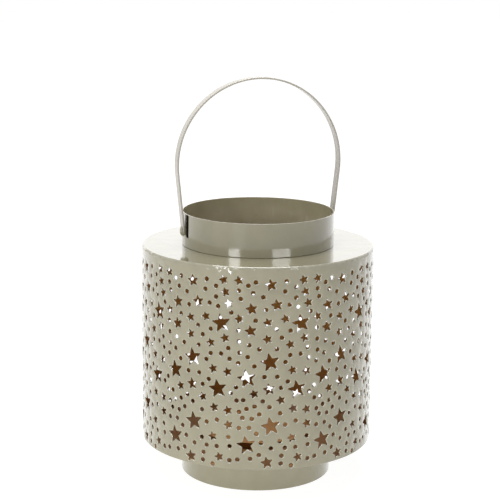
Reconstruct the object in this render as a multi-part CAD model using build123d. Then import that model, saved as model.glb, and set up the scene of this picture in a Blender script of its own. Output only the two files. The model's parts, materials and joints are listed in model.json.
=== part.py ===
from build123d import *
from build123d.topology import SkipClean
import math
import os

# Driving dimensions, in millimetres
SHEET = 0.7                 # tin sheet of the body, shoulder, base and candle pan
RING_SHEET = 1.0            # heavier sheet of the collar and the foot
BODY_DIAMETER = 180.0
BODY_HEIGHT = 153.5
FOOT_DIAMETER = 118.0
FOOT_HEIGHT = 28.0
COLLAR_DIAMETER = 118.0
COLLAR_HEIGHT = 25.8
SEAM_GAP = 0.05             # solder film between sheets that fit inside each other

# Shoulder and base: rims turned into the shell
BEND = 1.5                  # outer radius of a turned rim
SHOULDER_RIM = 6.0
BASE_RIM = 3.0
MOUTH_LEDGE = 1.6           # how far the shoulder reaches inside the collar
BEAD_DROP = 0.9             # the shell stops this far below the shoulder
BEAD_PROUD = 0.25           # how far the solder bead stands out

# Candle pan on the floor
PAN_DIAMETER = 92.0
PAN_RIM = 5.0

# Seams of the rolled sheets, all at the back
LAP_WIDTH = 4.0
SEAM_LINE = 0.4             # width of the line that a lap or butt joint shows
SEAM_DEPTH = 0.3
SEAM_ANGLE = 93.7           # degrees from +X

# Solder tacks
TACK_SIZE = 1.2
TACK_ARC = 7.0              # degrees
COLLAR_TACK_COUNT = 6
FOOT_TACK_COUNT = 6

# Bail, rivets and spacers
STRAP_WIDTH = 8.3
STRAP_THICKNESS = 1.35
PIVOT_HEIGHT = 12.5         # above the shoulder
LOOP_RADIUS = 65.3          # middle of the strap
LOOP_RISE = 50.1            # loop's centre above the pivots
KNEE_RISE = 4.5             # the ears are straight up to here
KNEE_RADIUS = 8.0
SPACER_THICKNESS = 0.9
SPACER_DIAMETER = 7.0
RIVET_DIAMETER = 4.0
RIVET_HEAD_DIAMETER = 7.4
RIVET_HEAD_HEIGHT = 1.3
RIVET_TAIL_DIAMETER = 6.4
RIVET_TAIL_HEIGHT = 1.5
RUN_PLAY = 0.15             # side play of the strap
RIVET_PLAY = 0.1            # radial play of the strap and spacers on the rivet

# Punching: stars of three sizes and round holes, one tile repeated round the shell
TILE_PITCH = 59.7
FRONT_ANGLE = -108.8        # middle of the tile that faces the front, in degrees from +X
SEAM_MARGIN = 1.5           # plain strip beside the seam and the lap
TOP_MARGIN = 6.0            # plain band below the shoulder
HOLE_DIAMETER = 3.1
STAR_WAIST = 0.43           # inner radius of a star over its outer radius
PUNCH_REACH = 4.0           # half the length of a punch
WALL_STRIPS = 38            # the wall's faces stay in upright strips, so that each holds few holes

# One tile: distance right of its middle, seen from outside, and height above the shell's lower edge
LARGE_STAR = 7.4            # outer radius
LARGE_TURN = 10.5           # degrees, to the left seen from outside
LARGE_PLACES = [
    (-26.0, 111.0), (10.5, 82.5), (-6.5, 70.0), (-28.5, 61.0), (11.5, 33.5), (-6.5, 19.0),
]
MEDIUM_STAR = 4.8
MEDIUM_TURN = 10.0
MEDIUM_PLACES = [
    (10.5, 140.5), (15.0, 125.5), (-3.5, 122.5), (-4.0, 106.0), (10.0, 62.0), (9.0, 5.5),
]
SMALL_STAR = 3.7
SMALL_TURN = 17.0
SMALL_PLACES = [
    (-24.5, 143.5), (-13.0, 143.5), (-23.0, 134.5), (-20.5, 126.0), (21.5, 115.0), (-12.5, 115.0),
    (8.5, 112.5), (8.5, 100.0), (-23.0, 100.0), (25.5, 95.5), (27.5, 76.0), (-21.0, 74.5),
    (-1.0, 58.5), (19.0, 53.5), (28.5, 46.5), (-20.5, 45.0), (-20.0, 34.0), (27.5, 24.0), (-27.0, 8.5),
]
HOLE_PLACES = [
    (22.0, 143.0), (-0.5, 142.5), (-6.0, 140.0), (29.5, 138.5), (21.0, 135.5), (-13.0, 136.0),
    (-2.5, 134.5), (5.0, 131.5), (29.5, 130.5), (-11.5, 130.0), (24.5, 125.5), (-28.5, 123.5),
    (7.0, 122.0), (-18.5, 119.5), (-0.5, 114.0), (-13.0, 106.5), (25.5, 106.0), (15.0, 107.5),
    (19.0, 101.0), (-12.5, 98.0), (-5.0, 95.5), (-20.5, 92.5), (2.5, 92.5), (15.5, 92.5),
    (-26.0, 88.0), (25.5, 87.5), (-12.0, 89.5), (-6.0, 86.5), (-19.5, 84.5), (22.0, 82.5),
    (-13.0, 81.5), (-1.0, 79.5), (6.5, 71.5), (16.0, 71.5), (24.0, 67.5), (-14.5, 63.0),
    (19.0, 63.0), (-18.5, 58.5), (-14.0, 53.0), (-9.0, 53.5), (5.5, 53.0), (-0.5, 49.0),
    (10.5, 48.5), (-6.5, 47.0), (-12.0, 44.5), (3.0, 43.0), (18.5, 43.5), (-9.5, 40.0),
    (-2.5, 39.5), (-29.0, 37.0), (22.5, 34.5), (-12.0, 32.0), (-4.5, 32.5), (1.0, 28.0),
    (-20.0, 24.5), (18.5, 22.0), (4.5, 21.0), (-19.0, 17.5), (-29.0, 16.5), (22.5, 16.5),
    (12.0, 16.5), (3.0, 11.5), (20.0, 10.5), (-3.5, 8.5), (-13.0, 7.5), (-19.0, 6.5),
    (19.5, 4.5), (27.5, 2.5),
]

# Levels and radii that follow from them
BASE_Z = FOOT_HEIGHT
SHOULDER_Z = BASE_Z + BODY_HEIGHT
RIM_Z = SHOULDER_Z + COLLAR_HEIGHT
PIVOT_Z = SHOULDER_Z + PIVOT_HEIGHT
BODY_R = BODY_DIAMETER / 2
FIT_R = BODY_R - SHEET - SEAM_GAP
SHELL_TOP = SHOULDER_Z - BEAD_DROP
COLLAR_R = COLLAR_DIAMETER / 2
COLLAR_BORE_R = COLLAR_R - RING_SHEET
FOOT_R = FOOT_DIAMETER / 2
FOOT_BORE_R = FOOT_R - RING_SHEET
MOUTH_R = COLLAR_BORE_R - MOUTH_LEDGE
SPACER_X = COLLAR_R + SEAM_GAP
STRAP_IN_X = SPACER_X + SPACER_THICKNESS + RUN_PLAY
PIVOT_X = STRAP_IN_X + STRAP_THICKNESS / 2
HEAD_X = STRAP_IN_X + STRAP_THICKNESS + RUN_PLAY
TAIL_X = math.sqrt(COLLAR_BORE_R ** 2 - (RIVET_TAIL_DIAMETER / 2) ** 2) - SEAM_GAP
SHANK_R = RIVET_DIAMETER / 2


def ring(outer_r, inner_r, low, high):
    """Plain upright ring between two levels"""
    height = high - low
    blank = Cylinder(outer_r, height) - Cylinder(inner_r, height)
    return Pos(0, 0, low + height / 2) * blank


def turned(profile):
    """Solid turned about Z from a face in the XZ plane"""
    return revolve(profile, Axis.Z)


def pan(radius, inner_r, floor, rim, up):
    """Sheet disc whose edge is turned into a rim, up (+1) or down (-1), with its plain face at floor"""
    corner = radius - BEND
    bend_in = BEND - SHEET
    diagonal = math.sqrt(0.5)
    outline = [
        Line((inner_r, floor), (corner, floor)),
        ThreePointArc(
            (corner, floor),
            (corner + BEND * diagonal, floor + up * BEND * (1 - diagonal)),
            (radius, floor + up * BEND),
        ),
        Line((radius, floor + up * BEND), (radius, floor + up * rim)),
        Line((radius, floor + up * rim), (radius - SHEET, floor + up * rim)),
        Line((radius - SHEET, floor + up * rim), (radius - SHEET, floor + up * BEND)),
        ThreePointArc(
            (radius - SHEET, floor + up * BEND),
            (corner + bend_in * diagonal, floor + up * (BEND - bend_in * diagonal)),
            (corner, floor + up * SHEET),
        ),
        Line((corner, floor + up * SHEET), (inner_r, floor + up * SHEET)),
        Line((inner_r, floor + up * SHEET), (inner_r, floor)),
    ]
    return turned(Plane.XZ * make_face(outline))


def seam_line(outer_r, low, high):
    """Narrow upright bar that marks a joint in the outside of a rolled sheet"""
    height = high - low
    bar = Box(2 * SEAM_DEPTH, SEAM_LINE, height)
    return Rot(0, 0, SEAM_ANGLE) * Pos(outer_r, 0, low + height / 2) * bar


def star_punch(radius, turn):
    """Five-pointed punch, one point up and then turned to the left, that works along Z"""
    corners = []
    for i in range(10):
        reach = radius if i % 2 == 0 else radius * STAR_WAIST
        angle = math.radians(90 + turn + 36 * i)
        corners.append((reach * math.cos(angle), reach * math.sin(angle)))
    face = make_face(Polyline(*corners, close=True))
    return Pos(0, 0, -PUNCH_REACH) * extrude(face, 2 * PUNCH_REACH)


def punches(punch, reach, places):
    """A punch at each of its places, in every tile that fits on the shell"""
    girth = 2 * math.pi * BODY_R
    front = math.radians((FRONT_ANGLE - SEAM_ANGLE) % 360) * BODY_R
    first_tile = -math.ceil(front / TILE_PITCH)
    last_tile = math.ceil((girth - front) / TILE_PITCH)
    start = LAP_WIDTH + SEAM_MARGIN + reach
    end = girth - SEAM_MARGIN - reach
    made = []
    for tile in range(first_tile, last_tile + 1):
        for across, height in places:
            along = front + tile * TILE_PITCH + across
            fits_round = start < along < end
            fits_height = height + reach < BODY_HEIGHT - TOP_MARGIN
            if not (fits_round and fits_height):
                continue
            angle = math.radians(SEAM_ANGLE) + along / BODY_R
            outward = Vector(math.cos(angle), math.sin(angle), 0)
            sideways = Vector(-math.sin(angle), math.cos(angle), 0)
            centre = outward * BODY_R + Vector(0, 0, BASE_Z + height)
            place = Plane(origin=centre, x_dir=sideways, z_dir=outward)
            made.append(place.location * punch)
    return made


def wall_strip(radius, low, high, arc):
    """Piece of upright wall, one sheet thick inside a radius, that starts at +X"""
    section = Pos(radius - SHEET / 2, (low + high) / 2) * Rectangle(SHEET, high - low)
    return revolve(Plane.XZ * section, Axis.Z, arc).solid()


def body_shell():
    """Punched sheet, rolled to a drum; a tongue of it laps inside at the seam"""
    strip_arc = 360.0 / WALL_STRIPS
    strip = wall_strip(BODY_R, BASE_Z, SHELL_TOP, strip_arc)
    strips = [Rot(0, 0, i * strip_arc) * strip for i in range(1, WALL_STRIPS)]
    tongue_low = BASE_Z + BASE_RIM + SHEET
    tongue_high = SHOULDER_Z - SHOULDER_RIM - SHEET
    tongue_arc = math.degrees(LAP_WIDTH / BODY_R)
    tongue = Rot(0, 0, SEAM_ANGLE) * wall_strip(BODY_R - SHEET, tongue_low, tongue_high, tongue_arc)
    tools = [seam_line(BODY_R, BASE_Z, SHELL_TOP)]
    tools += punches(star_punch(LARGE_STAR, LARGE_TURN), LARGE_STAR, LARGE_PLACES)
    tools += punches(star_punch(MEDIUM_STAR, MEDIUM_TURN), MEDIUM_STAR, MEDIUM_PLACES)
    tools += punches(star_punch(SMALL_STAR, SMALL_TURN), SMALL_STAR, SMALL_PLACES)
    tools += punches(Cylinder(HOLE_DIAMETER / 2, 2 * PUNCH_REACH), HOLE_DIAMETER / 2, HOLE_PLACES)
    with SkipClean():
        blank = strip.fuse(*strips, tongue)
        return blank.cut(*[tool.solid() for tool in tools])


def shoulder_plate():
    """Ring that closes the drum's top, with its rim turned down inside the shell"""
    return pan(FIT_R, MOUTH_R, SHOULDER_Z, SHOULDER_RIM, -1)


def shoulder_bead():
    """Solder run that fills the corner between the shell's edge and the shoulder's bend"""
    low = SHELL_TOP + SEAM_GAP
    bend_centre = Vector(FIT_R - BEND, SHOULDER_Z - BEND)
    bend_r = BEND + SEAM_GAP
    foot_angle = math.asin((low - bend_centre.Y) / bend_r)
    foot = (bend_centre.X + bend_r * math.cos(foot_angle), low)
    half_angle = (foot_angle + math.pi / 2) / 2
    middle = (bend_centre.X + bend_r * math.cos(half_angle), bend_centre.Y + bend_r * math.sin(half_angle))
    top = (bend_centre.X, bend_centre.Y + bend_r)
    crest = (bend_centre.X, top[1] + BEAD_PROUD / 2)
    skirt = (BODY_R + BEAD_PROUD / 2, low)
    swell = (BODY_R - BEAD_DROP / 2 + BEAD_PROUD, SHOULDER_Z - BEAD_DROP / 2 + BEAD_PROUD)
    outline = [
        ThreePointArc(foot, middle, top),
        Line(top, crest),
        ThreePointArc(crest, swell, skirt),
        Line(skirt, foot),
    ]
    return turned(Plane.XZ * make_face(outline))


def rivet_hole(radius):
    """Bar along X that pierces the collar on both sides"""
    return Pos(0, 0, PIVOT_Z) * Rot(0, 90, 0) * Cylinder(radius, 2 * COLLAR_DIAMETER)


def neck_collar():
    """Rolled ring round the mouth, pierced for the two rivets"""
    collar = ring(COLLAR_R, COLLAR_BORE_R, SHOULDER_Z, RIM_Z)
    return collar - rivet_hole(SHANK_R + SEAM_GAP) - seam_line(COLLAR_R, SHOULDER_Z, RIM_Z)


def base_plate():
    """Floor of the drum, with its rim turned up inside the shell"""
    blank = pan(FIT_R, FOOT_BORE_R / 2, BASE_Z, BASE_RIM, 1)
    return blank + Pos(0, 0, BASE_Z + SHEET / 2) * Cylinder(FOOT_BORE_R, SHEET)


def candle_pan():
    """Shallow dish on the floor that carries the candle"""
    floor = BASE_Z + SHEET
    radius = PAN_DIAMETER / 2
    blank = pan(radius, radius / 2, floor, PAN_RIM, 1)
    return blank + Pos(0, 0, floor + SHEET / 2) * Cylinder(radius - 2 * BEND, SHEET)


def foot_ring():
    """Rolled ring that the lantern stands on"""
    return ring(FOOT_R, FOOT_BORE_R, 0, BASE_Z) - seam_line(FOOT_R, 0, BASE_Z)


def tacks(bore_r, level, up, count):
    """Solder tacks in the corner between a ring's bore and a plate, above (+1) or below (-1) the plate"""
    wall = bore_r - SEAM_GAP
    corner = (wall, level)
    toe = (wall - TACK_SIZE, level)
    top = (wall, level + up * TACK_SIZE)
    face = Plane.XZ * make_face([Line(corner, toe), Line(toe, top), Line(top, corner)])
    made = []
    for i in range(count):
        turn = 360.0 * (i + 0.5) / count - TACK_ARC / 2
        made.append(Rot(0, 0, turn) * revolve(face, Axis.Z, TACK_ARC))
    return Compound(children=made)


def bail_handle():
    """Flat strap: straight ears on the rivets, arms that lean out, and a round loop"""
    knee = (PIVOT_X, PIVOT_Z + KNEE_RISE)
    centre_z = PIVOT_Z + LOOP_RISE
    drop = centre_z - knee[1]
    reach = math.hypot(PIVOT_X, drop)
    lean = math.asin(LOOP_RADIUS / reach) - math.atan2(PIVOT_X, drop)
    side = (LOOP_RADIUS * math.cos(lean), centre_z - LOOP_RADIUS * math.sin(lean))
    toe = (PIVOT_X, PIVOT_Z - STRAP_WIDTH)
    right = FilletPolyline(toe, knee, side, radius=KNEE_RADIUS)
    loop = ThreePointArc(side, (0, centre_z + LOOP_RADIUS), (-side[0], side[1]))
    left = mirror(right, Plane.YZ)
    path = Wire(right.edges() + loop.edges() + left.edges())
    outline = offset(path, STRAP_THICKNESS / 2, side=Side.BOTH)
    strap = extrude(Plane.XZ * make_face(outline), STRAP_WIDTH / 2, both=True)
    top_z = centre_z + LOOP_RADIUS + STRAP_WIDTH
    side_view = Pos(0, (PIVOT_Z + top_z) / 2) * Rectangle(STRAP_WIDTH, top_z - PIVOT_Z)
    side_view += Pos(0, PIVOT_Z) * Circle(STRAP_WIDTH / 2)
    strap &= extrude(Plane.YZ * side_view, 2 * LOOP_RADIUS, both=True)
    return strap - rivet_hole(SHANK_R + RIVET_PLAY)


def dome(radius, height):
    """Cap of a ball on its flat base, standing up from the origin"""
    ball_r = (radius ** 2 + height ** 2) / (2 * height)
    ball = Pos(0, 0, height - ball_r) * Sphere(ball_r)
    return ball & Pos(0, 0, height / 2) * Cylinder(radius, height)


def rivet(side):
    """Rivet along X: domed head outside the strap, shank, and tail peened inside the collar"""
    length = HEAD_X - TAIL_X
    shank = Pos(0, 0, TAIL_X + length / 2) * Cylinder(SHANK_R, length)
    head = Pos(0, 0, HEAD_X) * dome(RIVET_HEAD_DIAMETER / 2, RIVET_HEAD_HEIGHT)
    tail = Pos(0, 0, TAIL_X) * Rot(180, 0, 0) * dome(RIVET_TAIL_DIAMETER / 2, RIVET_TAIL_HEIGHT)
    return Pos(0, 0, PIVOT_Z) * Rot(0, 90 * side, 0) * (shank + head + tail)


def spacer(side):
    """Washer that holds the strap off the collar"""
    washer = Cylinder(SPACER_DIAMETER / 2, SPACER_THICKNESS) - Cylinder(SHANK_R + RIVET_PLAY, SPACER_THICKNESS)
    middle = SPACER_X + SPACER_THICKNESS / 2
    return Pos(0, 0, PIVOT_Z) * Rot(0, 90 * side, 0) * Pos(0, 0, middle) * washer


NODES = {
    "body_shell": body_shell(),
    "shoulder_plate": shoulder_plate(),
    "shoulder_bead": shoulder_bead(),
    "neck_collar": neck_collar(),
    "collar_tacks": tacks(COLLAR_BORE_R, SHOULDER_Z, 1, COLLAR_TACK_COUNT),
    "base_plate": base_plate(),
    "candle_pan": candle_pan(),
    "foot_ring": foot_ring(),
    "foot_tacks": tacks(FOOT_BORE_R, BASE_Z, -1, FOOT_TACK_COUNT),
    "bail_handle": bail_handle(),
    "rivet_left": rivet(-1),
    "rivet_right": rivet(1),
    "spacer_left": spacer(-1),
    "spacer_right": spacer(1),
}

os.makedirs("parts", exist_ok=True)
for name, solid in NODES.items():
    export_step(solid, os.path.join("parts", name + ".step"), write_pcurves=False)
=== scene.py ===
import json
import math

import bpy
import numpy as np
from mathutils import Matrix, Vector, geometry, noise


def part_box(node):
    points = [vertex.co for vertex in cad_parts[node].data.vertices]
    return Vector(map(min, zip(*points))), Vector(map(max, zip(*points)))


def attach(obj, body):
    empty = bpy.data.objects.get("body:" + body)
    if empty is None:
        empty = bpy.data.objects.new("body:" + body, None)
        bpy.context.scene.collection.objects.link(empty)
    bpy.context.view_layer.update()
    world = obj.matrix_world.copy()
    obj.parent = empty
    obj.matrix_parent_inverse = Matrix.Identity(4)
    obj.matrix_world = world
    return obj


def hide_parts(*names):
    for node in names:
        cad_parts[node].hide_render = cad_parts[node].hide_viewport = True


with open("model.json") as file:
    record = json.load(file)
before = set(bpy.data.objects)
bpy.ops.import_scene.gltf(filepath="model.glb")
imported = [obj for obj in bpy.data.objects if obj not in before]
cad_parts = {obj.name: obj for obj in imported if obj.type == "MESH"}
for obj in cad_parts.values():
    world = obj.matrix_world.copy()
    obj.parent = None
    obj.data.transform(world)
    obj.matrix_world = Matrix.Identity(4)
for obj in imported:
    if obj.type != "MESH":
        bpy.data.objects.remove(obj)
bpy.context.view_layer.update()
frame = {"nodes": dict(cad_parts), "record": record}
PIVOT_Z = frame["record"]["behaviour"]["joints"][0]["pos_m"][2]

# Sheet metal, in metres
MM = 0.001
SHEET = 0.7 * MM               # tin of the drum, shoulder, base and candle pan
RING_SHEET = 1.0 * MM          # tin of the collar and foot
BEND = 1.5 * MM                # outer radius of a turned rim
EDGE_ROUND = 0.15 * MM         # cut edges, a little rounded by the paint
CREASE = 0.5 * MM              # rounding where the collar stands on the shoulder
MOUTH_LEDGE = 1.6 * MM         # how far the shoulder reaches inside the collar
SEAM_ANGLE = math.radians(93.7)
SEAM_HALF = 0.2 * MM
SEAM_DEPTH = 0.3 * MM
LAP_WIDTH = 4.0 * MM
LAP_STEPS = 6

# Hand-rolled unevenness of the sheets
UNEVEN = 0.06 * MM
UNEVEN_LENGTH = 38 * MM
UNEVEN_SHIFTS = (0.0, 23.7, 41.9)  # places in the noise for x, y and z
UNEVEN_FROM = 10 * MM          # it fades out towards the surface that the foot stands on
UNEVEN_PROBE = 1.0 * MM        # step that its slope is measured over

# Rolled edge that the punch leaves round every hole
ROLL_WIDTH = 0.75 * MM
ROLL_DEPTH = 0.45 * MM
ROLL_STEPS = [(0.80, 0.08, 30), (0.20, 0.55, 62), (0.0, 1.0, 90)]  # shares of width and depth, degrees
TIP_ROUND = 0.22 * MM          # rounding of a star's points
LIP = 0.1 * MM                 # bevel of a hole's inner edge
DISH_TILT = math.radians(9.0)  # how far the sheet leans in beside a hole
HOLE_SIDES = 14
STAR_POINTS = 5
TIP_STEPS = 3
TIP_SHARE = 0.9                # a corner this far out, as a share of a star's size, is one of its points
ROUND_WAIST = 0.8              # a hole whose waist is wider than this share of its size is round
GRID_STEP = 5.0 * MM           # spacing of the wall's own points
LARGEST_HOLE = 20 * MM
GRID_CLEAR = 3 * ROLL_WIDTH    # those points keep this far from a hole
SKIN_DEPTH = 0.1 * SHEET       # points less deep than this are on the shell's outer face
MERGE_DIGITS = 7               # decimals of a metre to which the shell's points are told apart
SORT_DIGITS = 5                # decimals of a metre to which holes are put in order
TINY = 1e-9

# Turned pieces
TURN_STEPS = 240
ROW_STEP = 2.5 * MM
ARC_STEP = math.radians(25)
FACING = 0.5                   # a face turns to a direction if its normal has this part along it
SQUARELY_FACING = 0.9          # and squarely if it has this part
SKIN, BACK, SPECIAL = 0, 1, 2  # material numbers: outer face, inner face, and rolled edges or the painted shadow beside the ear

# Solder and paint over the shoulder's edge
BEAD_STEPS = 1200
BEAD_ARC_ROWS = 8
BEAD_RUN_ROWS = 10
BEAD_RADIUS = 1.5 * MM
BEAD_FILM = 0.02 * MM          # how far it lies over the sheets
BEAD_SWELL = 0.16 * MM         # how far it fills the corner out
BEAD_SPREAD = 1.2 * MM         # how far it reaches in over the shoulder
BEAD_SKIRT = 0.6 * MM          # how far it reaches down the wall where no run hangs
BEAD_LUMP = 2.2 * MM           # size of its lumps
BEAD_ROOT_IN = BEAD_RADIUS / 3      # its edges end inside the sheets, this far in
BEAD_ROOT_DOWN = BEAD_RADIUS / 5    # and this far down
ROOT_NORMAL = -0.7             # part of the normal there, inwards and downwards
SKIRT_UNEVEN = 0.5             # shares by which the lumps change the skirt and the spread
SPREAD_UNEVEN = 0.4
SKIRT_SHIFT, SPREAD_SHIFT, TILT_SHIFT, SIDE_SHIFT = 4.0, 2.0, 7.0, 11.0  # places in the noise
RUN_TILT = math.radians(16)    # how far a run's thick end faces up
LIP_TILT = math.radians(-25)   # the same for its lower lip, which faces down
RUN_TURN = 0.85                # share of a run above its lower lip
LUMP_TILT = 0.20               # about how far the lumps turn the normal, in radians
RUNS = [                       # degrees from +X, half width and length in millimetres
    (-131.8, 5.0, 1.4), (-126.5, 3.8, 3.5), (-121.2, 1.9, 5.0), (-99.2, 1.5, 0.9), (-94.3, 1.8, 0.8),
    (-58.0, 3.0, 2.2), (-12.0, 2.2, 4.0), (38.0, 4.5, 1.6), (84.0, 2.0, 3.2), (131.0, 3.5, 2.4),
    (172.0, 2.0, 4.2), (-160.0, 4.0, 1.5),
]

# Solder tacks inside the collar and the foot
TACK_SIZE = 1.2 * MM
TACK_ARC = math.radians(7.0)
TACK_COUNT = 6
TACK_STEPS = 12
TACK_ROWS = 6
TACK_MEAN = 0.9                # share of the size, with an unevenness and a least share
TACK_UNEVEN = 0.2
TACK_LEAST = 0.05
TACK_NOISE = (2.0, 3.0, 100.0)  # scale of the noise along a tack, from tack to tack and by height

# Painted shadow: a near-black stripe on the collar beside the left ear of the bail, standing in for the
# shade in the gap between the strap and the collar
EAR_SHADOW_NEAR = 3.8 * MM           # from the ear's middle
EAR_SHADOW_FAR = 8.4 * MM
EAR_SHADOW_BELOW = 4.0 * MM          # below the pivot
EAR_SHADOW_CLEAR = 1.2 * MM          # below the collar's rim

# Bail
STRAP_THICKNESS = 1.35 * MM
STRAP_ROUND = 0.35 * MM        # rounding of its edges
STRAP_PLAY = 0.15 * MM         # between a spacer and the strap
KNEE_RISE = 4.5 * MM           # the ears are straight up to here, above the pivots
KNEE_RADIUS = 8.0 * MM
EAR_STEPS, KNEE_STEPS, LEG_STEPS, LOOP_STEPS = 8, 4, 5, 48
ROUND_STEPS = 3                # on each corner of its section

# The photograph's camera, for a frame 500 pixels square
FRAME_PX = 500.0
FOCAL_PX = 1497.8
SENSOR_MM = 36.0
VIEW_AZIMUTH = math.radians(-18.5)
CAMERA_DISTANCE = 1141.5 * MM
CAMERA_HEIGHT = 415.8 * MM
CAMERA_PITCH = 0.2075          # radians, like the next two
CAMERA_YAW = -0.0053
CAMERA_ROLL = 0.0105

# Soft boxes: degrees to the camera's right and upwards, distance, width and height in metres, radiance
AIM_HEIGHT = 0.12
SOFTBOXES = {
    "left_box": (-34.3, 14.3, 1.6, 0.44, 0.30, 8.8),
    "left_fill": (-45, 38, 1.6, 0.60, 0.50, 1.4),
    "right_box": (35.5, 14.3, 1.6, 0.74, 0.085, 9.0),
    "top_box": (-25, 60, 1.5, 0.40, 0.40, 3.2),
    "overhead": (175, 84, 1.4, 0.90, 0.90, 5.6),
    "strip": (-26, -6, 0.55, 0.16, 0.30, 0.3),
    "back_panel": (180, 14, 2.0, 3.0, 1.0, 0.40),
}
WORLD_LEFT, WORLD_RIGHT = 0.32, 0.04  # strength of the world's light on the object
WORLD_SEEN = 1.0                      # strength where the world itself is seen

# Floor: grey of its matte surface, and its glow far off and at the pool of light
FLOOR_SIZE = 12.0
FLOOR_LIGHTING = (0.85, 0.0, 0.84)    # for light that the floor throws on the object
FLOOR_SEEN = (0.30, 1.00, 0.88)       # where the floor itself is seen
POOL_SHIFT = (0.18, 0.10, 0.0)        # the pool lies to the left and in front of the object

# Noises of the paint and the bare metal: scale per metre and detail
PAINT_CLOUDS = (45.0, 3.0)
PAINT_PEEL = (420.0, 2.0)
PAINT_WAVES = (70.0, 1.0)
STAINS = (60.0, 4.0)

# Roughness, and heights of the bump
PAINT_ROUGHNESS = (0.10, 0.20)
COAT_ROUGHNESS = 0.06
PEEL_HEIGHT, WAVE_HEIGHT = 0.4 * MM, 2.0 * MM
STAIN_ROUGHNESS = (0.38, 0.55)
GRAIN_STRENGTH, GRAIN_HEIGHT = 0.08, 1.0 * MM

# Tints, dark and light, and where a noise reaches them
TINT_STOPS = (0.30, 0.70)
PAINT_TINTS = (0.312, 0.286, 0.183), (0.358, 0.331, 0.216)
# painted light: the body's grey-green paint, made paler for the collar's inside so that it looks more lit
LIT_INNER_TINTS = (0.390, 0.358, 0.232), (0.448, 0.414, 0.274)
# the strap has the body's grey-green paint; these paler, greyer tints paint in the white it reflects, a
# painted sheen
STRAP_SHEEN_TINTS = (0.475, 0.441, 0.368), (0.525, 0.491, 0.418)
LINING_TINTS = (0.45, 0.243, 0.070), (0.56, 0.320, 0.100)
COPPER_TINTS = (0.49, 0.265, 0.102), (0.57, 0.330, 0.140)
# painted shade: dark brown for the outside of the candle pan's rim, which lies in shadow
SHADED_TINTS = (0.18, 0.095, 0.028), (0.27, 0.145, 0.045)
# top of the base plate inside the drum: a darker brown than the lining
DARK_BASE_TINTS = (0.27, 0.140, 0.055), (0.39, 0.210, 0.090)
# near-black colour of the painted shadow beside the left ear
EAR_SHADOW_TINTS = (0.010, 0.009, 0.006), (0.020, 0.018, 0.012)


# Materials

def principled(name):
    """New material, its nodes and links, and its shader"""
    material = bpy.data.materials.new(name)
    material.use_nodes = True
    nodes = material.node_tree.nodes
    return material, nodes, material.node_tree.links, nodes["Principled BSDF"]


def noise_node(nodes, links, coords, scale, detail):
    made = nodes.new("ShaderNodeTexNoise")
    made.inputs["Scale"].default_value = scale
    made.inputs["Detail"].default_value = detail
    links.new(coords.outputs["Object"], made.inputs["Vector"])
    return made


def tint_node(nodes, links, source, dark, light):
    """Colour from dark to light by a noise"""
    made = nodes.new("ShaderNodeValToRGB")
    for element, place, colour in zip(made.color_ramp.elements, TINT_STOPS, (dark, light)):
        element.position = place
        element.color = (*colour, 1.0)
    links.new(source, made.inputs["Fac"])
    return made


def range_node(nodes, links, source, low, high):
    made = nodes.new("ShaderNodeMapRange")
    made.inputs["To Min"].default_value = low
    made.inputs["To Max"].default_value = high
    links.new(source, made.inputs["Value"])
    return made


def bump_node(nodes, links, source, strength, distance, under=None):
    made = nodes.new("ShaderNodeBump")
    made.inputs["Strength"].default_value = strength
    made.inputs["Distance"].default_value = distance
    links.new(source, made.inputs["Height"])
    if under is not None:
        links.new(under.outputs["Normal"], made.inputs["Normal"])
    return made


def paint_material(name, dark, light, peel=0.0, coat_ior=1.5, dullness=0.0):
    """Glossy grey-green paint over tin, a little mottled and uneven"""
    material, nodes, links, shader = principled(name)
    coords = nodes.new("ShaderNodeTexCoord")
    cloud = noise_node(nodes, links, coords, *PAINT_CLOUDS)
    tint = tint_node(nodes, links, cloud.outputs["Fac"], dark, light)
    links.new(tint.outputs["Color"], shader.inputs["Base Color"])
    smooth, rough = PAINT_ROUGHNESS
    gloss = range_node(nodes, links, cloud.outputs["Fac"], smooth + dullness, rough + dullness)
    links.new(gloss.outputs["Result"], shader.inputs["Roughness"])
    shader.inputs["Coat Weight"].default_value = 1.0
    shader.inputs["Coat IOR"].default_value = coat_ior
    shader.inputs["Coat Roughness"].default_value = COAT_ROUGHNESS + dullness
    pores = noise_node(nodes, links, coords, *PAINT_PEEL)
    waves = noise_node(nodes, links, coords, *PAINT_WAVES)
    fine = bump_node(nodes, links, pores.outputs["Fac"], peel, PEEL_HEIGHT)
    broad = bump_node(nodes, links, waves.outputs["Fac"], peel, WAVE_HEIGHT, fine)
    links.new(broad.outputs["Normal"], shader.inputs["Normal"])
    links.new(broad.outputs["Normal"], shader.inputs["Coat Normal"])
    return material


def bare_material(name, dark, light, metallic, shine):
    """Bare or thinly lacquered metal, stained in clouds"""
    material, nodes, links, shader = principled(name)
    coords = nodes.new("ShaderNodeTexCoord")
    cloud = noise_node(nodes, links, coords, *STAINS)
    tint = tint_node(nodes, links, cloud.outputs["Fac"], dark, light)
    links.new(tint.outputs["Color"], shader.inputs["Base Color"])
    shader.inputs["Metallic"].default_value = metallic
    shader.inputs["Specular IOR Level"].default_value = shine
    gloss = range_node(nodes, links, cloud.outputs["Fac"], *STAIN_ROUGHNESS)
    links.new(gloss.outputs["Result"], shader.inputs["Roughness"])
    grain = bump_node(nodes, links, cloud.outputs["Fac"], GRAIN_STRENGTH, GRAIN_HEIGHT)
    links.new(grain.outputs["Normal"], shader.inputs["Normal"])
    return material


PAINT = paint_material("grey_green_paint", *PAINT_TINTS, peel=0.05)
RIM_PAINT = paint_material("grey_green_rim_paint", *PAINT_TINTS, coat_ior=2.4)
LUMPY_PAINT = paint_material("grey_green_solder_paint", *PAINT_TINTS, peel=0.01, coat_ior=1.8)
# painted light: paler copy of the paint for the inside of the collar
LIT_INNER_PAINT = paint_material("grey_green_paint_lightened_inside", *LIT_INNER_TINTS, peel=0.05)
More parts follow.
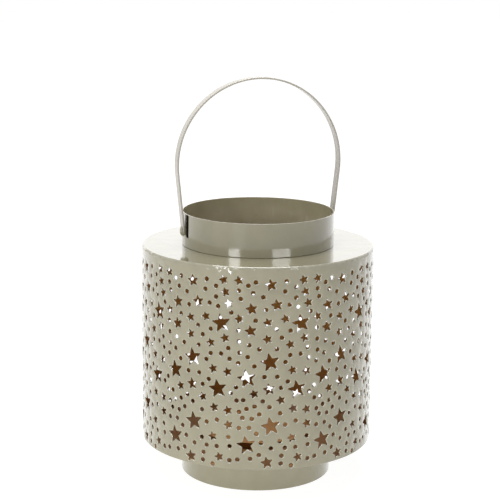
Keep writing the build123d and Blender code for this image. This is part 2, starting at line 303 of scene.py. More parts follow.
# strap paint: the body's paint, lightened for a painted sheen
STRAP_SHEEN_PAINT = paint_material("grey_strap_paint_painted_sheen", *STRAP_SHEEN_TINTS, dullness=0.26)
LINING = bare_material("copper_brown_lining", *LINING_TINTS, metallic=0.5, shine=0.2)
COPPER = bare_material("copper_pan", *COPPER_TINTS, metallic=0.5, shine=0.3)
# painted shade on the outside of the candle pan
SHADED = bare_material("painted_shade_pan_outside", *SHADED_TINTS, metallic=0.2, shine=0.1)
DARK_BASE = bare_material("dark_brown_base", *DARK_BASE_TINTS, metallic=0.3, shine=0.2)
# near-black material of the painted shadow on the collar beside the left ear
EAR_SHADOW = bare_material("painted_shadow_beside_ear", *EAR_SHADOW_TINTS, metallic=0.0, shine=0.0)


# Meshes

def drift(point):
    """How far the uneven sheet lies from its true place"""
    fade = min(1.0, max(0.0, point.z / UNEVEN_FROM))
    spot = point / UNEVEN_LENGTH
    lean = [noise.noise(spot + Vector((shift, 0.0, 0.0))) for shift in UNEVEN_SHIFTS]
    return Vector(lean) * (UNEVEN * fade)


def uneven(verts, normals):
    """Points and normals carried by the drift"""
    moved, leaning = [], []
    for place, normal in zip(verts, normals):
        point = Vector(place)
        here = drift(point)
        slope = Vector((0.0, 0.0, 0.0))
        n = Vector(normal)
        for axis in range(3):
            beside = point.copy()
            beside[axis] += UNEVEN_PROBE
            slope[axis] = (drift(beside) - here).dot(n) / UNEVEN_PROBE
        moved.append(point + here)
        leaning.append((n - slope).normalized())
    return moved, leaning


def new_piece(name, verts, faces, normals, kinds, materials):
    """Smooth mesh object; normals are one per point or None, and kinds are the faces' material numbers"""
    mesh = bpy.data.meshes.new(name)
    mesh.from_pydata([tuple(v) for v in verts], [], faces)
    for material in materials:
        mesh.materials.append(material)
    mesh.polygons.foreach_set("material_index", kinds)
    mesh.polygons.foreach_set("use_smooth", [True] * len(mesh.polygons))
    mesh.update()
    if normals is not None:
        mesh.normals_split_custom_set_from_vertices([tuple(n) for n in normals])
    piece = bpy.data.objects.new(name, mesh)
    bpy.context.scene.collection.objects.link(piece)
    return piece


def dress(piece, node, body):
    """Puts a piece in a CAD node's place"""
    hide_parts(node)
    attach(piece, body)


def wall_point(radius, angle, height):
    return (radius * math.cos(angle), radius * math.sin(angle), height)


# The drum: its holes are read from the CAD shell, and come back with rolled edges

def outer_loops(mesh, radius):
    """Closed outlines of the holes in the shell's outer face, as lists of points"""
    count = len(mesh.vertices)
    places = np.zeros(count * 3)
    mesh.vertices.foreach_get("co", places)
    places = places.reshape(-1, 3)
    keys = {}
    merged = [keys.setdefault(tuple(p), len(keys)) for p in np.round(places, MERGE_DIGITS)]
    points = np.array(list(keys))
    reach = np.hypot(points[:, 0], points[:, 1])
    uses = {}
    for polygon in mesh.polygons:
        corners = [merged[v] for v in polygon.vertices]
        if min(reach[c] for c in corners) < radius - SKIN_DEPTH:
            continue
        middle = polygon.center
        outward = Vector((middle.x, middle.y, 0)).normalized()
        if polygon.normal.dot(outward) < SQUARELY_FACING:
            continue
        for a, b in zip(corners, corners[1:] + corners[:1]):
            edge = (min(a, b), max(a, b))
            uses[edge] = uses.get(edge, 0) + 1
    beside = {}
    for (a, b), times in uses.items():
        if times == 1:
            beside.setdefault(a, []).append(b)
            beside.setdefault(b, []).append(a)
    loops = []
    left = set(beside)
    while left:
        here = left.pop()
        loop = [here]
        while True:
            onward = [n for n in beside[here] if n in left]
            if not onward:
                break
            here = onward[0]
            left.discard(here)
            loop.append(here)
        loops.append(points[loop])
    return loops


def read_hole(loop, radius):
    """Centre, size, waist and turn of one outline, on the wall laid flat from the seam onwards"""
    angles = np.unwrap(np.arctan2(loop[:, 1], loop[:, 0]))
    flat = np.stack([angles * radius, loop[:, 2]], 1)
    ahead = np.roll(flat, -1, axis=0)
    cross = flat[:, 0] * ahead[:, 1] - ahead[:, 0] * flat[:, 1]
    centre = ((flat + ahead) * cross[:, None]).sum(0) / (3 * cross.sum())
    offset = flat - centre
    distance = np.hypot(offset[:, 0], offset[:, 1])
    size = distance.max()
    bearing = np.arctan2(offset[:, 1], offset[:, 0])
    tips = distance > TIP_SHARE * size
    turn = np.angle(np.exp(1j * STAR_POINTS * bearing[tips]).sum()) / STAR_POINTS
    start = SEAM_ANGLE * radius
    centre[0] = start + (centre[0] - start) % (2 * math.pi * radius)
    return {"centre": centre, "size": size, "waist": distance.min() / size, "turn": turn}


def outline(hole):
    """Base points and outward ways of a hole's edge; a ring at distance d is base + d * way"""
    if hole["waist"] > ROUND_WAIST:
        spin = [2 * math.pi * i / HOLE_SIDES for i in range(HOLE_SIDES)]
        ways = np.array([(math.cos(a), math.sin(a)) for a in spin])
        return ways * (hole["size"] - TIP_ROUND), ways
    corners = []
    count = 2 * STAR_POINTS
    for i in range(count):
        reach = hole["size"] * (1.0 if i % 2 == 0 else hole["waist"])
        angle = hole["turn"] + math.pi / STAR_POINTS * i
        corners.append(np.array([reach * math.cos(angle), reach * math.sin(angle)]))
    sides = []
    for i in range(count):
        run = corners[(i + 1) % count] - corners[i]
        run /= np.hypot(*run)
        sides.append(np.array([run[1], -run[0]]))
    base, ways = [], []
    for i in range(count):
        before, after = sides[i - 1], sides[i]
        mitre = (before + after) / (1 + before @ after)
        inner = corners[i] - TIP_ROUND * mitre
        if i % 2 == 1:
            base.append(inner)
            ways.append(mitre)
            continue
        start = math.atan2(before[1], before[0])
        swing = math.atan2(before[0] * after[1] - before[1] * after[0], before @ after)
        for step in range(TIP_STEPS + 1):
            angle = start + swing * step / TIP_STEPS
            base.append(inner)
            ways.append(np.array([math.cos(angle), math.sin(angle)]))
    return np.array(base), np.array(ways)


def inside(point, ring):
    """True if a flat point lies in a closed ring"""
    ahead = np.roll(ring, -1, axis=0)
    spans = (ring[:, 1] > point[1]) != (ahead[:, 1] > point[1])
    rise = np.where(ahead[:, 1] == ring[:, 1], 1.0, ahead[:, 1] - ring[:, 1])
    crossing = ring[:, 0] + (point[1] - ring[:, 1]) / rise * (ahead[:, 0] - ring[:, 0])
    return np.count_nonzero(spans & (point[0] < crossing)) % 2 == 1


class Wall:
    """Mesh of the drum while it grows, from points on the wall laid flat"""

    def __init__(self, radius):
        self.radius = radius
        self.verts, self.normals, self.faces, self.kinds = [], [], [], []

    def put(self, points, depth, lean, ways):
        """Adds points at a depth below the outer face; lean turns the normal against each point's way"""
        first = len(self.verts)
        for (along, height), way in zip(points, ways):
            self.verts.append(wall_point(self.radius - depth, along / self.radius, height))
            self.normals.append(self.leaning(along, lean, way))
        return first

    def leaning(self, along, lean, way):
        """Normal of the wall at a place along it, turned by lean against a way"""
        angle = along / self.radius
        out = Vector((math.cos(angle), math.sin(angle), 0.0))
        side = Vector((-math.sin(angle), math.cos(angle), 0.0))
        toward = -(side * way[0] + Vector((0.0, 0.0, way[1])))
        return (out * math.cos(lean) + toward * math.sin(lean)).normalized()

    def face(self, corners, kind):
        self.faces.append(corners)
        self.kinds.append(kind)

    def bridge(self, last, here, kind):
        """Quads between two closed rings of the same count"""
        for i in range(len(last)):
            j = (i + 1) % len(last)
            self.face([last[i], last[j], here[j], here[i]], kind)


def flat_wall(holes, across, upward):
    """Triangles of the wall laid flat round the holes' rolled edges"""
    border = [(a, upward[0]) for a in across]
    border += [(across[-1], z) for z in upward[1:]]
    border += [(a, upward[-1]) for a in across[-2::-1]]
    border += [(across[0], z) for z in upward[-2:0:-1]]
    flat = list(border)
    owner = [-1] * len(border)
    edges = [(i, (i + 1) % len(border)) for i in range(len(border))]
    for index, hole in enumerate(holes):
        hole["base"], hole["ways"] = outline(hole)
        hole["first"] = len(flat)
        hole["ring"] = hole["centre"] + hole["base"] + hole["ways"] * (TIP_ROUND + ROLL_WIDTH)
        count = len(hole["ring"])
        flat += [tuple(p) for p in hole["ring"]]
        owner += [index] * count
        edges += [(hole["first"] + i, hole["first"] + (i + 1) % count) for i in range(count)]
    centres = np.array([h["centre"] for h in holes])
    reaches = np.array([h["size"] for h in holes]) + GRID_CLEAR
    for a in across[1:-1]:
        for z in upward[1:-1]:
            if (np.hypot(centres[:, 0] - a, centres[:, 1] - z) > reaches).all():
                flat.append((a, z))
                owner.append(-1)
    found = geometry.delaunay_2d_cdt([Vector(p) for p in flat], edges, [], 1, TINY)
    origin = [ids[0] for ids in found[3]]
    triangles = []
    for face in found[2]:
        corners = [origin[v] for v in face]
        holders = {owner[c] for c in corners}
        if len(holders) == 1 and -1 not in holders:
            middle = np.mean([flat[c] for c in corners], axis=0)
            if inside(middle, holes[holders.pop()]["ring"]):
                continue
        triangles.append(corners)
    return flat, triangles, len(border)


def make_drum():
    """The punched sheet: outer and inner wall, a rolled edge at every hole, rims and the lap seam"""
    low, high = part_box("body_shell")
    radius = high.x
    holes = [read_hole(loop, radius) for loop in outer_loops(frame["nodes"]["body_shell"].data, radius)]
    holes = [hole for hole in holes if hole["size"] < LARGEST_HOLE]
    holes.sort(key=lambda h: [round(place, SORT_DIGITS) for place in h["centre"]])
    start = SEAM_ANGLE * radius
    length = 2 * math.pi * radius
    bottom, top = low.z + EDGE_ROUND, high.z - EDGE_ROUND
    across = np.linspace(start + SEAM_HALF, start + length - SEAM_HALF, round(length / GRID_STEP) + 1)
    upward = np.linspace(bottom, top, round((top - bottom) / GRID_STEP) + 1)
    flat, triangles, border = flat_wall(holes, across, upward)

    wall = Wall(radius)
    still = [(0.0, 0.0)] * len(flat)
    outer = wall.put(flat, 0.0, 0.0, still)
    inner = wall.put(flat, SHEET, math.pi, still)
    for corners in triangles:
        wall.face([outer + c for c in corners], SKIN)
        wall.face([inner + c for c in reversed(corners)], BACK)

    steps = [(ROLL_WIDTH * w, ROLL_DEPTH * d, math.radians(lean), SPECIAL) for w, d, lean in ROLL_STEPS]
    steps += [(0.0, SHEET - LIP, math.pi / 2, SKIN), (LIP, SHEET, math.pi, BACK)]
    for hole in holes:
        count = len(hole["ring"])
        ways = hole["ways"] / np.hypot(hole["ways"][:, 0], hole["ways"][:, 1])[:, None]
        last = [outer + hole["first"] + i for i in range(count)]
        for i in range(count):
            wall.normals[last[i]] = wall.leaning(hole["ring"][i][0], DISH_TILT, ways[i])
        for distance, depth, lean, kind in steps:
            points = hole["centre"] + hole["base"] + hole["ways"] * (TIP_ROUND + distance)
            first = wall.put(points, depth, lean, ways)
            here = [first + i for i in range(count)]
            wall.bridge(last, here, kind)
            last = here
        wall.bridge(last, [inner + hole["first"] + i for i in range(count)], BACK)

    wide, tall = len(across), len(upward)
    bottom_row = list(range(wide))
    right_row = [wide - 1 + i for i in range(tall)]
    top_row = [wide + tall - 2 + (wide - 1 - i) for i in range(wide)]
    left_row = [0] + [border - i for i in range(1, tall)]
    add_rim(wall, flat, outer, inner, bottom_row, low.z, 1)
    add_rim(wall, flat, outer, inner, top_row, high.z, -1)
    add_seam(wall, upward, outer, inner, right_row, left_row)
    verts, normals = uneven(wall.verts, wall.normals)
    drum = new_piece("punched_drum", verts, wall.faces, normals, wall.kinds, [PAINT, LINING, RIM_PAINT])
    dress(drum, "body_shell", "lantern")


def add_rim(wall, flat, outer, inner, row, level, up):
    """Rounded edge along the drum's lower (+1) or upper (-1) rim"""
    points = [(flat[i][0], level) for i in row]
    ways = [(0.0, up)] * len(points)
    edge_out = wall.put(points, EDGE_ROUND, math.pi / 2, ways)
    edge_in = wall.put(points, SHEET - EDGE_ROUND, math.pi / 2, ways)
    for i in range(len(row) - 1):
        a, b = row[i], row[i + 1]
        strips = [
            ([outer + a, outer + b, edge_out + i + 1, edge_out + i], SKIN),
            ([edge_out + i, edge_out + i + 1, edge_in + i + 1, edge_in + i], SKIN),
            ([edge_in + i, edge_in + i + 1, inner + b, inner + a], BACK),
        ]
        for corners, kind in strips:
            wall.face(corners[::-1] if up > 0 else corners, kind)


def add_seam(wall, upward, outer, inner, right_row, left_row):
    """Joint line of the lap, seen outside, and the tongue of sheet that laps behind it"""
    first = len(wall.verts)
    for z in upward:
        wall.verts.append(wall_point(wall.radius - SEAM_DEPTH, SEAM_ANGLE, z))
        wall.normals.append(Vector(wall_point(1.0, SEAM_ANGLE, 0.0)))
    for i in range(len(upward) - 1):
        a, b = first + i, first + i + 1
        wall.face([outer + right_row[i], a, b, outer + right_row[i + 1]], SKIN)
        wall.face([a, outer + left_row[i], outer + left_row[i + 1], b], SKIN)
        ends = [right_row[i + 1], left_row[i + 1], left_row[i], right_row[i]]
        wall.face([inner + c for c in ends], BACK)
    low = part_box("base_plate")[1].z + SHEET
    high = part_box("shoulder_plate")[0].z - SHEET
    first = len(wall.verts)
    for i in range(LAP_STEPS + 1):
        angle = SEAM_ANGLE + LAP_WIDTH / wall.radius * i / LAP_STEPS
        for depth, z in ((SHEET, low), (2 * SHEET, low), (2 * SHEET, high), (SHEET, high)):
            wall.verts.append(wall_point(wall.radius - depth, angle, z))
            wall.normals.append(Vector(wall_point(-1.0, angle, 0.0)))
    for i in range(LAP_STEPS):
        a, b = first + 4 * i, first + 4 * (i + 1)
        for j in range(3):
            wall.face([a + j, a + j + 1, b + j + 1, b + j], BACK)
    last = first + 4 * LAP_STEPS
    wall.face([first + 3, first + 2, first + 1, first], BACK)
    wall.face([last, last + 1, last + 2, last + 3], BACK)


# Turned sheet pieces

def rounded(corners, closed):
    """Profile (r, z, normal r, normal z) of a path of corners (r, z, rounding), metal on its left"""
    count = len(corners)
    profile = []
    for i, (r, z, rounding) in enumerate(corners):
        here = Vector((r, z))
        before = Vector(corners[i - 1][:2])
        after = Vector(corners[(i + 1) % count][:2])
        run_in = (here - before).normalized()
        run_out = (after - here).normalized()
        if not closed and i == 0:
            profile.append((r, z, run_out.y, -run_out.x))
            continue
        if not closed and i == count - 1:
            profile.append((r, z, run_in.y, -run_in.x))
            continue
        turn = math.atan2(run_in.x * run_out.y - run_in.y * run_out.x, run_in.dot(run_out))
        bend = 1.0 if turn > 0 else -1.0
        start = here - run_in * (rounding * math.tan(abs(turn) / 2))
        centre = start + Vector((-run_in.y, run_in.x)) * (rounding * bend)
        normal = Vector((run_in.y, -run_in.x))
        steps = max(2, math.ceil(abs(turn) / ARC_STEP))
        for k in range(steps + 1):
            way = Matrix.Rotation(turn * k / steps, 2) @ normal
            point = centre + way * (rounding * bend)
            profile.append((point.x, point.y, way.x, way.y))
    return profile


def subdivided(profile, closed):
    """The profile with its long straight runs divided"""
    out = []
    count = len(profile)
    for i in range(count):
        out.append(profile[i])
        if not closed and i == count - 1:
            break
        here, after = profile[i], profile[(i + 1) % count]
        parts = round(math.hypot(after[0] - here[0], after[1] - here[1]) / ROW_STEP)
        for k in range(1, parts):
            share = k / parts
            r = here[0] + (after[0] - here[0]) * share
            z = here[1] + (after[1] - here[1]) * share
            out.append((r, z, here[2], here[3]))
    return out


def turned(name, corners, closed, is_inside, lining, outside=PAINT, seam=False, is_ear_shadow=None):
    """Piece turned about Z; is_inside says where its lining shows, and the last test where a painted
    shadow replaces the paint
    """
    profile = subdivided(rounded(corners, closed), closed)
    angles = [SEAM_ANGLE + 2 * math.pi * i / TURN_STEPS for i in range(TURN_STEPS)]
    reach = max(p[0] for p in profile)
    if seam:
        step = SEAM_HALF / reach
        angles = [SEAM_ANGLE, SEAM_ANGLE + step] + angles[1:] + [SEAM_ANGLE + 2 * math.pi - step]
    verts, normals, rows = [], [], []
    for r, z, normal_r, normal_z in profile:
        ring = []
        for i, angle in enumerate(angles):
            if r < TINY and ring:
                ring.append(ring[0])
                continue
            ring.append(len(verts))
            groove = SEAM_DEPTH if seam and i == 0 and normal_r > FACING else 0.0
            verts.append(wall_point(r - groove, angle, z))
            normals.append(Vector(wall_point(normal_r, angle, normal_z)))
        rows.append(ring)
    faces, kinds = [], []
    turns = len(angles)
    for j in range(len(rows) if closed else len(rows) - 1):
        above = (j + 1) % len(rows)
        lower, upper = rows[j], rows[above]
        middle = [(a + b) / 2 for a, b in zip(profile[j], profile[above])]
        kind = BACK if is_inside(*middle) else SKIN
        for i in range(turns):
            k = (i + 1) % turns
            corners_here = [lower[i], lower[k], upper[k], upper[i]]
            corners_here = list(dict.fromkeys(corners_here))
            if len(corners_here) > 2:
                faces.append(corners_here)
                # faces in the painted shadow beside the ear get the near-black material
                in_shadow = is_ear_shadow is not None and is_ear_shadow(corners_here, verts, profile[j][2])
                kinds.append(SPECIAL if in_shadow else kind)
    verts, normals = uneven(verts, normals)
    materials = [outside, lining, EAR_SHADOW] if is_ear_shadow else [outside, lining]
    return new_piece(name, verts, faces, normals, kinds, materials)


def ring_bore(node):
    """Inner radius of an upright ring"""
    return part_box(node)[1].x - RING_SHEET


def ring_corners(node, crease_low):
    """Section of an upright ring"""
    low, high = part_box(node)
    outer = high.x
    bore = ring_bore(node)
    return [
        (bore, low.z, EDGE_ROUND), (outer, low.z, crease_low),
        (outer, high.z, 2 * EDGE_ROUND), (bore, high.z, 2 * EDGE_ROUND),
    ]


def dish_corners(node):
    """Section of a round dish with its rim turned up"""
    low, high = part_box(node)
    radius = high.x
    return [
        (0.0, low.z, 0.0), (radius, low.z, BEND), (radius, high.z, EDGE_ROUND),
        (radius - SHEET, high.z, EDGE_ROUND), (radius - SHEET, low.z + SHEET, BEND - SHEET),
        (0.0, low.z + SHEET, 0.0),
    ]


def shoulder_corners():
    """Section of the shoulder: a flat ring with its rim turned down"""
    low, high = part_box("shoulder_plate")
    radius = high.x
    mouth = ring_bore("neck_collar") - MOUTH_LEDGE
    return [
        (mouth, high.z - SHEET, EDGE_ROUND), (radius - SHEET, high.z - SHEET, BEND - SHEET),
        (radius - SHEET, low.z, EDGE_ROUND), (radius, low.z, EDGE_ROUND),
        (radius, high.z, BEND), (mouth, high.z, EDGE_ROUND),
    ]


def never(r, z, normal_r, normal_z):
    return False


def facing_up_or_in(r, z, normal_r, normal_z):
    return normal_z > FACING or normal_r < -FACING


def facing_up_or_out(r, z, normal_r, normal_z):
    return normal_z > FACING or abs(normal_r) > FACING


def facing_down_or_in(r, z, normal_r, normal_z):
    return normal_z < -FACING or normal_r < -FACING


def facing_in(r, z, normal_r, normal_z):
    return normal_r < -FACING


def in_ear_shadow(corners, verts, normal_r):
    """True for a face of the collar's outside in the painted shadow stripe in front of the left ear, where
    the gap behind the strap lies in shade
    """
    if normal_r < SQUARELY_FACING:
        return False
    x, y, z = (sum(verts[c][axis] for c in corners) / len(corners) for axis in range(3))
    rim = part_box("neck_collar")[1].z
    return x < 0 and EAR_SHADOW_NEAR < -y < EAR_SHADOW_FAR and PIVOT_Z - EAR_SHADOW_BELOW < z < rim - EAR_SHADOW_CLEAR


def make_turned_pieces():
    """Collar, foot, shoulder, base and candle pan"""
    section = ring_corners("neck_collar", CREASE)
    # the collar's inside takes the lightened paint, painted light
    # the collar's outside gets a painted shadow stripe beside the left ear
    collar = turned("collar_ring", section, True, facing_in, LIT_INNER_PAINT, seam=True, is_ear_shadow=in_ear_shadow)
    dress(collar, "neck_collar", "lantern")
    foot = turned("foot_band", ring_corners("foot_ring", 2 * EDGE_ROUND), True, never, LINING, seam=True)
    dress(foot, "foot_ring", "lantern")
    shoulder = turned("shoulder_sheet", shoulder_corners(), True, facing_down_or_in, LINING)
    dress(shoulder, "shoulder_plate", "lantern")
    # the base plate's top and outer rim take the darker brown
    base = turned("base_sheet", dish_corners("base_plate"), False, facing_up_or_out, DARK_BASE)
    dress(base, "base_plate", "lantern")
    # the pan's outer faces take the painted shade
    pan = turned("candle_dish", dish_corners("candle_pan"), False, facing_up_or_in, COPPER, SHADED)
    dress(pan, "candle_pan", "lantern")


def bead_noise(angle, radius, height, shift):
    """Unevenness of the bead, about -1 to 1"""
    spot = Vector(wall_point(radius, angle, height)) / BEAD_LUMP
    return 2 * noise.noise(spot + Vector((0.0, 0.0, shift)))


def bead_run(angle, radius):
    """How far the bead reaches down the wall at an angle"""
    length = BEAD_SKIRT * (1 + SKIRT_UNEVEN * bead_noise(angle, radius, 0.0, SKIRT_SHIFT))
    for degrees, half_width, depth in RUNS:
        away = (angle - math.radians(degrees) + math.pi) % (2 * math.pi) - math.pi
        share = abs(away) * radius / (half_width * MM)
        if share < 1:
            length += depth * MM * math.cos(share * math.pi / 2) ** 2
    return length


def bead_section(angle, radius, top):
    """Points (r, z, how far the normal faces up) of the bead's skin, from the shoulder down to the wall"""
    lumps = bead_noise(angle, radius, 0.0, SPREAD_SHIFT)
    run = bead_run(angle, radius)
    middle_r, middle_z = radius - BEAD_RADIUS, top - BEAD_RADIUS
    inset = BEAD_SPREAD * (1 + SPREAD_UNEVEN * lumps)
    section = [(middle_r - inset, top + BEAD_FILM, math.pi / 2)]
    for k in range(BEAD_ARC_ROWS + 1):
        lift = math.pi / 2 * (1 - k / BEAD_ARC_ROWS)
        reach = BEAD_RADIUS + BEAD_FILM + BEAD_SWELL * (1 + lumps) / 2 * math.sin(2 * lift)
        tilt = max(lift, RUN_TILT)
        section.append((middle_r + reach * math.cos(lift), middle_z + reach * math.sin(lift), tilt))
    for k in range(1, BEAD_RUN_ROWS + 1):
        share = k / BEAD_RUN_ROWS
        tilt = RUN_TILT
        if share > RUN_TURN:
            tilt += (LIP_TILT - RUN_TILT) * (share - RUN_TURN) / (1 - RUN_TURN)
        section.append((radius + BEAD_FILM, middle_z - run * share, tilt))
    return section


def make_bead():
    """Uneven skin of solder and paint over the shoulder's edge, with runs down the wall"""
    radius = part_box("body_shell")[1].x
    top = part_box("shoulder_plate")[1].z
    step = 2 * math.pi / BEAD_STEPS
    verts, normals, faces = [], [], []
    for i in range(BEAD_STEPS):
        angle = i * step
        section = bead_section(angle, radius, top)
        side = Vector(wall_point(1.0, angle + math.pi / 2, 0.0))
        for r, z, tilt in section:
            verts.append(wall_point(r, angle, z))
            lumpy = LUMP_TILT * math.cos(tilt) ** 2
            tilt += lumpy * bead_noise(angle, radius, z, TILT_SHIFT)
            face = Vector(wall_point(math.cos(tilt), angle, math.sin(tilt)))
            sideways = lumpy * bead_noise(angle, radius, z, SIDE_SHIFT)
            normals.append((face + side * sideways).normalized())
        for r, z, _ in (section[-1], section[0]):
            verts.append(wall_point(r - BEAD_ROOT_IN, angle, z - BEAD_ROOT_DOWN))
            normals.append(Vector(wall_point(ROOT_NORMAL, angle, ROOT_NORMAL)))
    rows = len(section) + 2
    for i in range(BEAD_STEPS):
        k = (i + 1) % BEAD_STEPS
        for j in range(rows):
            m = (j + 1) % rows
            faces.append([i * rows + j, i * rows + m, k * rows + m, k * rows + j])
    verts, normals = uneven(verts, normals)
    bead = new_piece("solder_bead", verts, faces, normals, [SKIN] * len(faces), [LUMPY_PAINT])
    dress(bead, "shoulder_bead", "lantern")


def make_tacks(name, node, bore, level, up):
    """Rounded lumps of solder in the corner between a ring's bore and a plate"""
    verts, faces = [], []
    for tack in range(TACK_COUNT):
        middle = 2 * math.pi * (tack + 0.5) / TACK_COUNT
        first = len(verts)
        for i in range(TACK_STEPS + 1):
            place = 2 * i / TACK_STEPS - 1
            angle = middle + TACK_ARC / 2 * place
            spot = Vector((place, tack, level)) * Vector(TACK_NOISE)
            lump = TACK_MEAN + TACK_UNEVEN * noise.noise(spot)
            size = max(TACK_LEAST, min(1.0, math.sqrt(1 - place * place) * lump)) * TACK_SIZE
            verts.append(wall_point(bore, angle, level))
            for k in range(TACK_ROWS + 1):
                lift = math.pi / 2 * k / TACK_ROWS
                r = bore - size * math.cos(lift)
                verts.append(wall_point(r, angle, level + up * size * math.sin(lift)))
        row = TACK_ROWS + 2
        for i in range(TACK_STEPS):
            for j in range(row):
                m = (j + 1) % row
                a, b = first + i * row, first + (i + 1) * row
                corners = [a + j, a + m, b + m, b + j]
                faces.append(corners if up < 0 else corners[::-1])
        last = first + TACK_STEPS * row
        for start, flip in ((first, up > 0), (last, up < 0)):
            cap = [start + j for j in range(row)]
            faces.append(cap if flip else cap[::-1])
    tacks = new_piece(name, verts, faces, None, [SKIN] * len(faces), [PAINT])
    dress(tacks, node, "lantern")


# The bail

def strap_path(low, high, pivot):
    """Points of the strap's middle line from the right ear's end over the loop, with its directions"""
    loop_r = high.x - STRAP_THICKNESS / 2
    centre_z = high.z - high.x
    half = (high.y - low.y) / 2
    knee = Vector((pivot.x, pivot.z + KNEE_RISE))
    drop = centre_z - knee.y
    lean = math.asin(loop_r / math.hypot(pivot.x, drop)) - math.atan2(pivot.x, drop)
    tangent = KNEE_RADIUS * math.tan(lean / 2)
    points = []
    for i in range(EAR_STEPS + 1):
        fall = half * math.cos(math.pi / 2 * i / EAR_STEPS)
        points.append((pivot.x, pivot.z - fall, math.pi / 2))
    points.append((pivot.x, knee.y - tangent, math.pi / 2))
    bend_centre = Vector((pivot.x + KNEE_RADIUS, knee.y - tangent))
    for i in range(1, KNEE_STEPS + 1):
        swing = lean * i / KNEE_STEPS
        x = bend_centre.x - KNEE_RADIUS * math.cos(swing)
        z = bend_centre.y + KNEE_RADIUS * math.sin(swing)
        points.append((x, z, math.pi / 2 - swing))
    knee_end = Vector(points[-1][:2])
    side = Vector((loop_r * math.cos(lean), centre_z - loop_r * math.sin(lean)))
    for i in range(1, LEG_STEPS):
        spot = knee_end.lerp(side, i / LEG_STEPS)
        points.append((spot.x, spot.y, math.pi / 2 - lean))
    for i in range(LOOP_STEPS + 1):
        swing = -lean + (math.pi / 2 + lean) * i / LOOP_STEPS
        points.append((loop_r * math.cos(swing), centre_z + loop_r * math.sin(swing), math.pi / 2 + swing))
    mirrored = [(-x, z, 2 * math.pi - a) for x, z, a in points[-2::-1]]
    return points + mirrored, half


def strap_section(half):
    """Rounded oblong: (across, out, normal across, normal out) round the strap's section"""
    flat_half = STRAP_THICKNESS / 2
    section = []
    for quarter in range(4):
        side_w = 1 if quarter in (0, 3) else -1
        side_t = 1 if quarter in (0, 1) else -1
        for k in range(ROUND_STEPS + 1):
            angle = math.pi / 2 * (quarter + k / ROUND_STEPS)
            w = side_w * (half - STRAP_ROUND) + STRAP_ROUND * math.cos(angle)
            t = side_t * (flat_half - STRAP_ROUND) + STRAP_ROUND * math.sin(angle)
            section.append((w, t, math.cos(angle), math.sin(angle)))
    return section


def make_bail():
    """Strap with rounded edges and ears"""
    low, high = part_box("bail_handle")
    pivot_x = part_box("spacer_right")[1].x + STRAP_PLAY + STRAP_THICKNESS / 2
    pivot = Vector((pivot_x, 0.0, PIVOT_Z))
    path, half = strap_path(low, high, pivot)
    section = strap_section(half)
    verts, normals, faces = [], [], []
    for x, z, heading in path:
        out = Vector((math.sin(heading), 0.0, -math.cos(heading)))
        fall = max(0.0, pivot.z - z)
        width = math.sqrt(max(0.0, half * half - fall * fall)) / half
        for w, t, normal_w, normal_t in section:
            down = Vector((0.0, 0.0, -1.0)) * (fall / half)
            edge = Vector((0.0, math.copysign(1.0, w), 0.0)) * width + down
            verts.append(Vector((x, 0.0, z)) + Vector((0.0, w * width, 0.0)) + out * t)
            normals.append((edge * abs(normal_w) + out * normal_t).normalized())
    ring = len(section)
    for i in range(len(path) - 1):
        for j in range(ring):
            m = (j + 1) % ring
            faces.append([i * ring + j, (i + 1) * ring + j, (i + 1) * ring + m, i * ring + m])
    faces.append(list(range(ring)))
    last = (len(path) - 1) * ring
    faces.append([last + j for j in reversed(range(ring))])
    # the strap takes the paint with the painted sheen
    strap = new_piece("bail_strap", verts, faces, normals, [SKIN] * len(faces), [STRAP_SHEEN_PAINT])
    dress(strap, "bail_handle", "bail")


make_drum()
make_turned_pieces()
make_bead()
make_tacks("collar_solder", "collar_tacks", ring_bore("neck_collar"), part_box("neck_collar")[0].z, 1)
make_tacks("foot_solder", "foot_tacks", ring_bore("foot_ring"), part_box("foot_ring")[1].z, -1)
make_bail()

# The rivets and spacers stay as the CAD has them, painted
for node in frame["nodes"].values():
    node.data.materials.clear()
    node.data.materials.append(PAINT)


# Camera, lights and stage

def place_camera():
    """The photograph's viewpoint"""
    data = bpy.data.cameras.new("camera")
    data.sensor_width = SENSOR_MM
    data.lens = FOCAL_PX / FRAME_PX * SENSOR_MM
    camera = bpy.data.objects.new("camera", data)
    bpy.context.scene.collection.objects.link(camera)
    spot = Matrix.Rotation(VIEW_AZIMUTH, 3, "Z") @ Vector((0.0, -CAMERA_DISTANCE, CAMERA_HEIGHT))
    turn = Matrix.Rotation(VIEW_AZIMUTH - CAMERA_YAW, 4, "Z")
    tilt = Matrix.Rotation(math.pi / 2 - CAMERA_PITCH, 4, "X")
    roll = Matrix.Rotation(CAMERA_ROLL, 4, "Z")
    camera.matrix_world = Matrix.Translation(spot) @ turn @ tilt @ roll
    bpy.context.scene.camera = camera


def add_softbox(name, azimuth, elevation, distance, width, height, radiance):
    """Soft box aimed at the object"""
    a = VIEW_AZIMUTH + math.radians(azimuth)
    e = math.radians(elevation)
    aim = Vector((0.0, 0.0, AIM_HEIGHT))
    ray = Vector((math.sin(a) * math.cos(e), -math.cos(a) * math.cos(e), math.sin(e)))
    data = bpy.data.lights.new(name, "AREA")
    data.shape = "RECTANGLE"
    data.size = width
    data.size_y = height
    data.energy = radiance * width * height * math.pi
    light = bpy.data.objects.new(name, data)
    bpy.context.scene.collection.objects.link(light)
    light.location = aim + ray * distance
    light.rotation_mode = "QUATERNION"
    light.rotation_quaternion = (-ray).to_track_quat("-Z", "Y")
    light.visible_camera = False


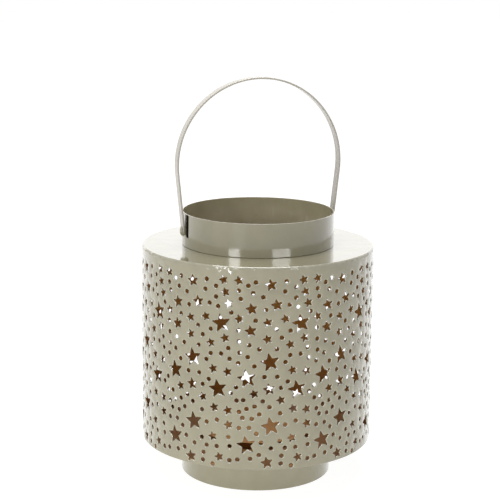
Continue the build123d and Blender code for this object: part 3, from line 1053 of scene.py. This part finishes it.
def seen_directly(nodes, links):
    """1 for rays that show the background itself: camera, mirror and glass rays"""
    path = nodes.new("ShaderNodeLightPath")
    first = nodes.new("ShaderNodeMath")
    first.operation = "MAXIMUM"
    links.new(path.outputs["Is Camera Ray"], first.inputs[0])
    links.new(path.outputs["Is Glossy Ray"], first.inputs[1])
    second = nodes.new("ShaderNodeMath")
    second.operation = "MAXIMUM"
    links.new(first.outputs["Value"], second.inputs[0])
    links.new(path.outputs["Is Transmission Ray"], second.inputs[1])
    return second.outputs["Value"]


def light_scene():
    """Soft boxes, and a world that is white to look at and lights the object softly from its left"""
    for name, setting in SOFTBOXES.items():
        add_softbox(name, *setting)
    world = bpy.data.worlds.new("studio")
    bpy.context.scene.world = world
    world.use_nodes = True
    nodes, links = world.node_tree.nodes, world.node_tree.links
    background = nodes["Background"]
    background.inputs["Color"].default_value = (1.0, 1.0, 1.0, 1.0)
    coords = nodes.new("ShaderNodeTexCoord")
    side = nodes.new("ShaderNodeVectorMath")
    side.operation = "DOT_PRODUCT"
    side.inputs[1].default_value = Matrix.Rotation(VIEW_AZIMUTH, 3, "Z") @ Vector((1.0, 0.0, 0.0))
    links.new(coords.outputs["Generated"], side.inputs[0])
    soft = range_node(nodes, links, side.outputs["Value"], WORLD_LEFT, WORLD_RIGHT)
    soft.inputs["From Min"].default_value = -1.0
    strength = range_node(nodes, links, seen_directly(nodes, links), 0.0, WORLD_SEEN)
    links.new(soft.outputs["Result"], strength.inputs["To Min"])
    links.new(strength.outputs["Result"], background.inputs["Strength"])


def glowing_matte(nodes, links, nearness, grey, far_glow, near_glow):
    """Matte surface with a glow of its own, as a lit table top has"""
    matte = nodes.new("ShaderNodeBsdfDiffuse")
    matte.inputs["Color"].default_value = (grey, grey, grey, 1.0)
    light = nodes.new("ShaderNodeEmission")
    glow = range_node(nodes, links, nearness, far_glow, near_glow)
    links.new(glow.outputs["Result"], light.inputs["Strength"])
    both = nodes.new("ShaderNodeAddShader")
    links.new(matte.outputs["BSDF"], both.inputs[0])
    links.new(light.outputs["Emission"], both.inputs[1])
    return both


def add_floor():
    """Pale floor that shows white to the camera and keeps a soft shadow"""
    bpy.ops.mesh.primitive_plane_add(size=FLOOR_SIZE, location=(0.0, 0.0, 0.0))
    floor = bpy.context.object
    floor.name = "floor"
    material = bpy.data.materials.new("pale_floor")
    material.use_nodes = True
    nodes, links = material.node_tree.nodes, material.node_tree.links
    nodes.remove(nodes["Principled BSDF"])
    coords = nodes.new("ShaderNodeTexCoord")
    shift = nodes.new("ShaderNodeMapping")
    shift.inputs["Location"].default_value = Matrix.Rotation(VIEW_AZIMUTH, 3, "Z") @ Vector(POOL_SHIFT)
    links.new(coords.outputs["Object"], shift.inputs["Vector"])
    pool = nodes.new("ShaderNodeTexGradient")
    pool.gradient_type = "SPHERICAL"
    links.new(shift.outputs["Vector"], pool.inputs["Vector"])
    nearness = pool.outputs["Fac"]
    bounce = glowing_matte(nodes, links, nearness, *FLOOR_LIGHTING)
    white = glowing_matte(nodes, links, nearness, *FLOOR_SEEN)
    choice = nodes.new("ShaderNodeMixShader")
    links.new(seen_directly(nodes, links), choice.inputs["Fac"])
    links.new(bounce.outputs["Shader"], choice.inputs[1])
    links.new(white.outputs["Shader"], choice.inputs[2])
    links.new(choice.outputs["Shader"], nodes["Material Output"].inputs["Surface"])
    floor.data.materials.append(material)


place_camera()
light_scene()
add_floor()
bpy.context.scene.view_settings.view_transform = "Standard"
